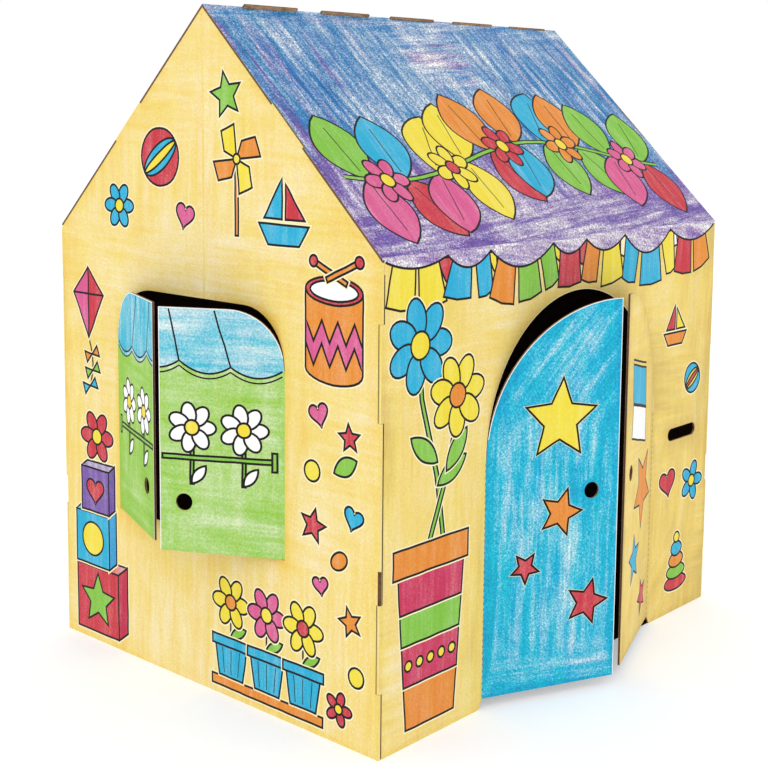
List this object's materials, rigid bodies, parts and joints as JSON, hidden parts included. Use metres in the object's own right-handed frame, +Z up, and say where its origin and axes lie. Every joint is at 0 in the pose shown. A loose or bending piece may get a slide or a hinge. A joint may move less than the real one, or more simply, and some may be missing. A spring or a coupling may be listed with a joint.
{
  "type": "cardboard playhouse",
  "caption": "Card playhouse slotted together from folded corrugated sheets, with an arched double door, a shuttered gable window, a letter slot and tabs along its pitched roof.",
  "frame": {"origin": "on the floor, at the middle of the outer box with the doors and shutters ajar", "axes": "+X along the ridge away from the window, +Y from the front wall with the doors to the back, +Z up"},
  "size_m": [1.1486, 0.9502, 1.2249],
  "materials": {
    "front_card": "matt, wax crayon on white liner",
    "back_card": "matt, wax crayon on white liner",
    "window_card": "matt, wax crayon on white liner",
    "plain_card": "matt, wax crayon on white liner"
  },
  "bodies": {
    "root": {"front_sheet": "front_card", "back_sheet": "back_card", "window_gable": "window_card", "plain_gable": "plain_card"}
  },
  "joints": []
}
